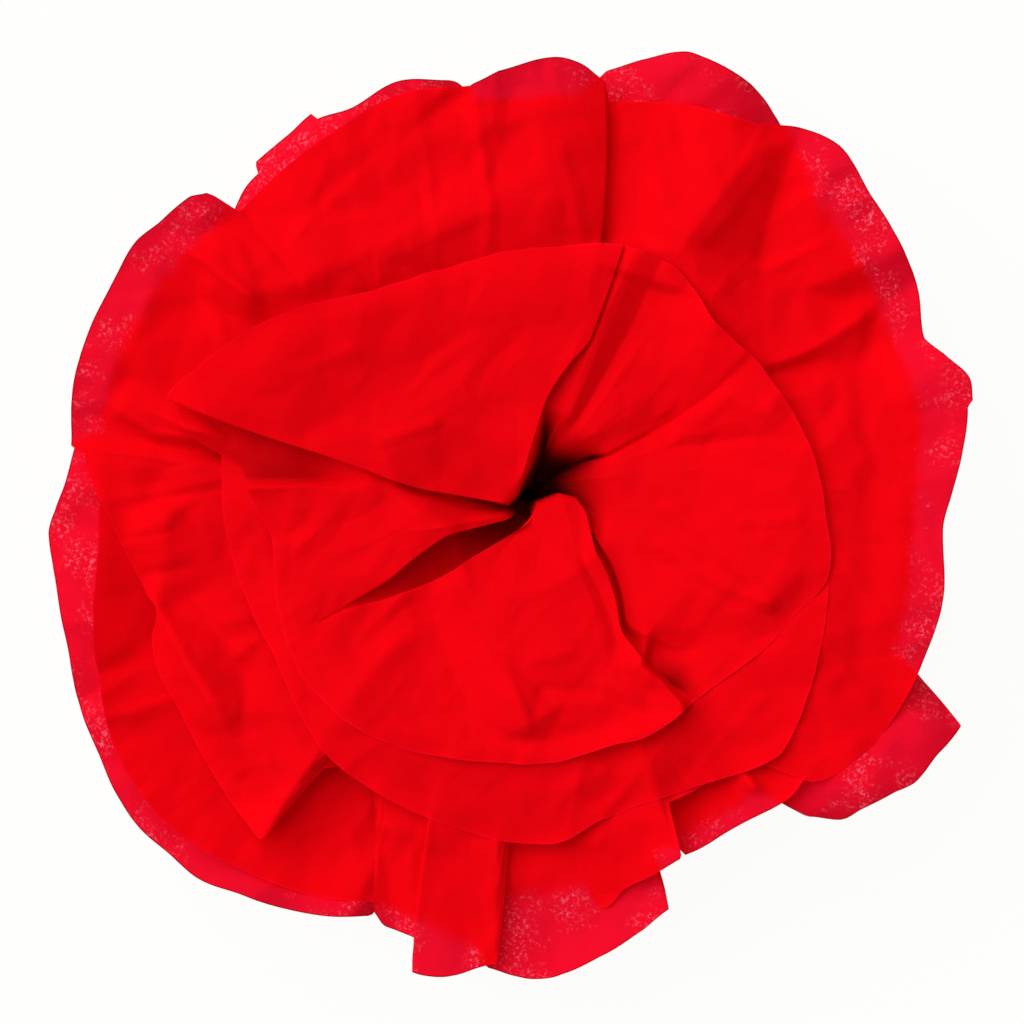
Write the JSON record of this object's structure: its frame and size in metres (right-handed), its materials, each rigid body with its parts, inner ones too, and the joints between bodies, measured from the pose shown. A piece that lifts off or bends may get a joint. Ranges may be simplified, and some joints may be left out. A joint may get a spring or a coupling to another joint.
{
  "type": "paper poppy flower",
  "caption": "Full-blown flower of stacked tissue paper discs, pinched at the middle into a short wired neck, with gathered petals and ruffled rims.",
  "frame": {"origin": "middle of the flat end of the gathered neck, at the back of the flower", "axes": "+Z the way the flower faces, +Y the top of the flower as the picture shows it"},
  "size_m": [0.2268, 0.2277, 0.0596],
  "materials": {
    "red_tissue": "matte",
    "tie_wire": "satin"
  },
  "bodies": {
    "root": {"front_sheet": "red_tissue", "inner_sheet": "red_tissue", "middle_sheet": "red_tissue", "outer_sheet": "red_tissue", "back_sheet": "red_tissue", "neck_tie": "tie_wire"}
  },
  "joints": []
}
